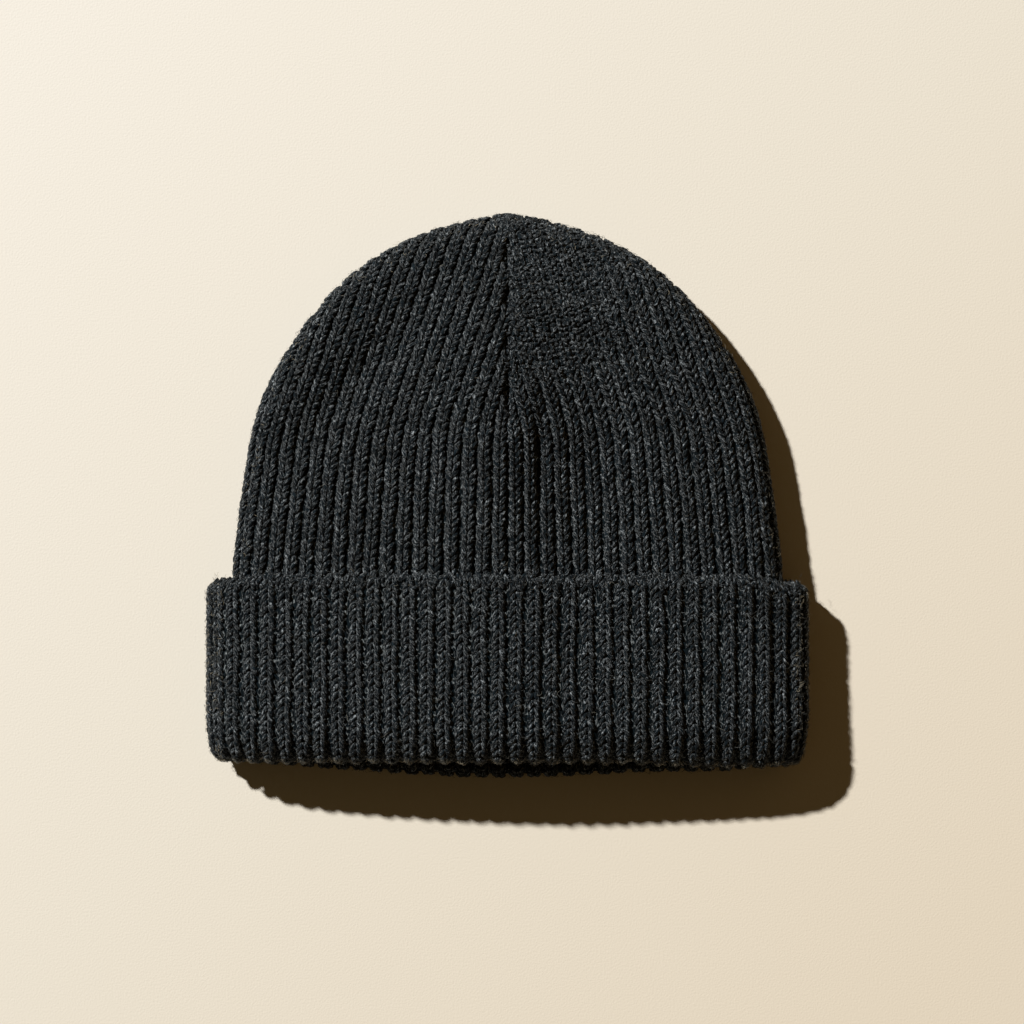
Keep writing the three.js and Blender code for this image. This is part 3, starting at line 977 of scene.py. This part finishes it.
def make_lamp():
    lamp = bpy.data.lights.new("key", "AREA")
    lamp.shape = "DISK"
    lamp.size = LAMP_SIZE
    lamp.energy = LAMP_POWER
    lamp.color = LAMP_COLOUR
    key = bpy.data.objects.new("key", lamp)
    level = math.cos(LAMP_ELEVATION)
    towards = (-level * math.sin(LAMP_AZIMUTH), level * math.cos(LAMP_AZIMUTH), math.sin(LAMP_ELEVATION))
    key.location = [LAMP_DISTANCE * part for part in towards]
    key.rotation_euler = (math.pi / 2 - LAMP_ELEVATION, 0, LAMP_AZIMUTH + math.pi)
    bpy.context.scene.collection.objects.link(key)


def make_sky():
    world = bpy.data.worlds.new("studio")
    world.use_nodes = True
    tree = world.node_tree
    sky = tree.nodes["Background"]
    direction = node_of(tree, "ShaderNodeTexCoord")
    parts = node_of(tree, "ShaderNodeSeparateXYZ")
    tree.links.new(direction.outputs["Generated"], parts.inputs[0])
    across = node_of(tree, "ShaderNodeMapRange")
    across.inputs["From Min"].default_value = -1
    tree.links.new(parts.outputs["X"], across.inputs["Value"])
    tree.links.new(colour_ramp(tree, SKY_COLOURS, across.outputs["Result"]), sky.inputs["Color"])
    sky.inputs["Strength"].default_value = SKY_STRENGTH
    bpy.context.scene.world = world
    bpy.context.scene.view_settings.view_transform = "Standard"


# Where stray fibres start: so far inside the outline, below the cast-on edge and above the lower fold
CROWN_RIM = 12
CUFF_RIM = 4
CUFF_LIP = 5
CUFF_FOLD = 2.2
CUFF_UNDER = 2
FIRST_FIBRES = 0.5


def add_crown_fuzz(material):
    """Stray fibres all over the front of the crown, and more of them along its outline."""
    rows = np.concatenate([crown_courses(sheet, RIB_MIDDLES) for sheet in (1, -1)])
    front = rows[rows[:, 1] > 0]
    rim = rows[inside_crown(rows[:, 2], rows[:, 3]) < CROWN_RIM]
    # The rim's fibres reach the lightest tan: painted rim light along the outline
    parts = [
        stray_fibres(crown_place, front, CROWN_FACE_FIBRES),
        stray_fibres(crown_place, rim, CROWN_RIM_FIBRES),
    ]
    strand_piece("crown_fuzz", parts, material, "crown")


def add_cuff_fuzz(material):
    """Stray fibres all over the front of the cuff, and more of them at its sides, cast-on edge and fold."""
    last = CUFF_HEIGHT + 2 * FOLD_RADIUS
    rows = np.concatenate([cuff_courses(sheet, FIRST_FIBRES, last) for sheet in (1, -1)])
    across, along = rows[:, 2], rows[:, 3]
    front = rows[:, 1] > 0
    face = along < CUFF_HEIGHT
    # The rim and fold fibres reach the lightest tan: painted rim light at the sides and a painted highlight
    # line along the lower fold
    parts = [
        stray_fibres(cuff_place, rows[front], CUFF_FACE_FIBRES),
        stray_fibres(cuff_place, rows[face & (across > CUFF_HALF_WIDTH - CUFF_RIM)], CUFF_RIM_FIBRES),
        stray_fibres(cuff_place, rows[front & (along < CUFF_LIP)], CUFF_LIP_FIBRES),
        stray_fibres(
            cuff_place, rows[front & face & (along > CUFF_HEIGHT - CUFF_FOLD)], CUFF_FOLD_FIBRES, FOLD_SPREAD
        ),
        stray_fibres(cuff_place, rows[along > CUFF_HEIGHT - CUFF_UNDER], CUFF_UNDER_FIBRES),
    ]
    strand_piece("cuff_fuzz", parts, material, "cuff")


# The width of a rib of stitches. The cuff's ribs are slack, so they leave some of their place open
CUFF_RIB_SHARE = 0.93
CUFF_RIB_WIDTH = CUFF_RIB_SHARE * CUFF_LAYOUT_WIDTH / RIBS_PER_QUARTER
CROWN_RIB_WIDTH = (DART_HALF_WIDTH + 2) / RIBS_PER_QUARTER
FIRST_COURSE = 1.6


def make_cap():
    yarn = yarn_material()
    ground = ground_material()
    fibre = fibre_material()
    add_crown_fuzz(fibre)
    add_cuff_fuzz(fibre)
    crown_ground(ground)
    cuff_ground(ground)
    strand_piece("uneven_knit", purl_bumps(), yarn, "crown")
    strand_piece("gathered_top", [gathered_top()] + seam_loops(), yarn, "crown")
    strand_piece("cast_on_edge", cast_on_edge(), yarn, "cuff")
    last_course = CUFF_HEIGHT + math.pi * FOLD_RADIUS + MOUTH_DEPTH
    for sheet, label in ((1, "front"), (-1, "back")):
        rows = crown_courses(sheet, RIB_MIDDLES)
        crown = knit_stitches(crown_place, rows, CROWN_RIB_WIDTH)
        strand_piece("crown_knit_" + label, crown, yarn, "crown")
        rows = cuff_courses(sheet, FIRST_COURSE, last_course)
        cuff = knit_stitches(cuff_place, rows, CUFF_RIB_WIDTH)
        strand_piece("cuff_knit_" + label, cuff, yarn, "cuff")


make_camera()
make_lamp()
make_sky()
make_floor()
make_cap()
